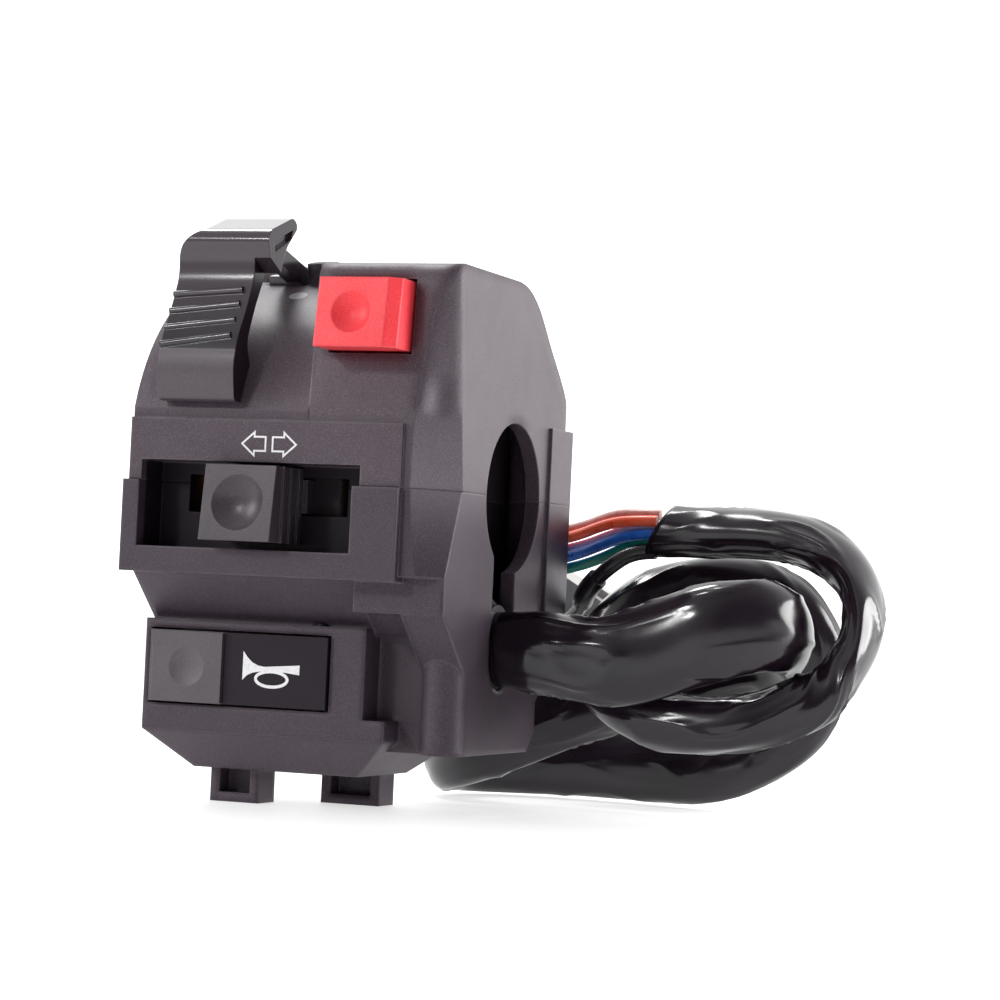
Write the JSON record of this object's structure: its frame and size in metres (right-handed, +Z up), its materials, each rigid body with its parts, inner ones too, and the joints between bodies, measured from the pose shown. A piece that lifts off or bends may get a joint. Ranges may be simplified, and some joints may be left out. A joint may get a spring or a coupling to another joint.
{
  "type": "motorbike handlebar switch cluster",
  "caption": "Left-hand motorbike switch housing for a tubular handlebar, with stop button, turn signal slide, horn plate, thumb choke lever and a folded wiring loom with a plug.",
  "frame": {"origin": "on the handlebar's axis, half way along the housing's length", "axes": "+X along the handlebar towards the middle of the bike, -Y towards the rider, +Z up"},
  "size_m": [0.1038, 0.0873, 0.0855],
  "materials": {
    "housing_plastic": "moulded black plastic, satin, slightly worn",
    "lever_plastic": "moulded black plastic, satin",
    "knob_plastic": "moulded black plastic, satin",
    "red_plastic": "moulded red plastic, semi-gloss",
    "horn_plastic": "moulded black plastic, matte",
    "switch_base_plastic": "brown phenolic sheet",
    "carriage_plastic": "black nylon",
    "steel": "zinc-plated",
    "brass": "plain",
    "rubber": "matte",
    "loom_vinyl": "soft black vinyl sleeve, glossy and wrinkled",
    "wire_pink": "pale pink wire insulation",
    "wire_red": "orange-red wire insulation",
    "wire_lilac": "light blue wire insulation",
    "wire_blue": "dark blue wire insulation",
    "wire_green": "green wire insulation",
    "wire_black": "black sleeve",
    "connector_plastic": "white nylon"
  },
  "bodies": {
    "housing": {"upper_housing": "housing_plastic", "lower_housing": "housing_plastic", "turn_switch_base": "switch_base_plastic", "stop_switch_base": "switch_base_plastic", "horn_switch_base": "switch_base_plastic", "housing_screw_front": "steel", "housing_screw_rear": "steel", "stop_base_screw": "steel", "turn_base_screws": "steel", "horn_base_screw": "steel", "stop_button_spring": "steel", "turn_detent_rail": "steel", "horn_pivot_pin": "steel", "horn_return_spring": "steel", "choke_cable_adjuster": "steel", "choke_adjuster_locknut": "steel", "stop_terminals": "brass", "turn_terminals": "brass", "horn_contact_strip": "brass", "horn_terminals": "brass", "connector_terminals": "brass", "harness_grommet": "rubber", "harness_lead": "loom_vinyl", "harness_coil": "loom_vinyl", "wire_pink": "wire_pink", "wire_red": "wire_red", "wire_lilac": "wire_lilac", "turn_wire_inner": "wire_lilac", "wire_blue": "wire_blue", "horn_wire_inner": "wire_blue", "wire_green": "wire_green", "stop_wire_inner": "wire_green", "wire_black": "wire_black", "black_wire_sleeve": "wire_black", "harness_connector": "connector_plastic"},
    "choke_lever": {"choke_lever": "lever_plastic"},
    "turn_signal_slide": {"turn_signal_knob": "knob_plastic", "turn_signal_carriage": "carriage_plastic", "turn_detent_ball": "steel", "turn_detent_spring": "steel", "turn_moving_contact": "brass"},
    "stop_button": {"stop_button": "red_plastic", "stop_contact_bridge": "brass"},
    "horn_button": {"horn_button": "horn_plastic"}
  },
  "joints": [
    {"name": "choke_lever_turn", "type": "hinge", "parent": "housing", "child": "choke_lever", "pos_m": [0, 0, 0.0022], "axis": [-1, 0, 0], "range_deg": [0, 30]},
    {"name": "turn_signal_slide", "type": "slide", "parent": "housing", "child": "turn_signal_slide", "axis": [1, 0, 0], "range_m": [-0.006, 0.006]},
    {"name": "stop_button_press", "type": "slide", "parent": "housing", "child": "stop_button", "axis": [0, 1, 0], "range_m": [0, 0.0025], "stiffness_N_per_m": 400, "springref_m": -0.001, "deforming": ["stop_button_spring"]},
    {"name": "horn_button_press", "type": "hinge", "parent": "housing", "child": "horn_button", "pos_m": [0.0028, -0.0186, -0.0267], "axis": [0, 0, -1], "range_deg": [0, 4.5], "stiffness_Nm_per_rad": 0.12, "springref_deg": -2.86, "deforming": ["horn_return_spring"]}
  ]
}
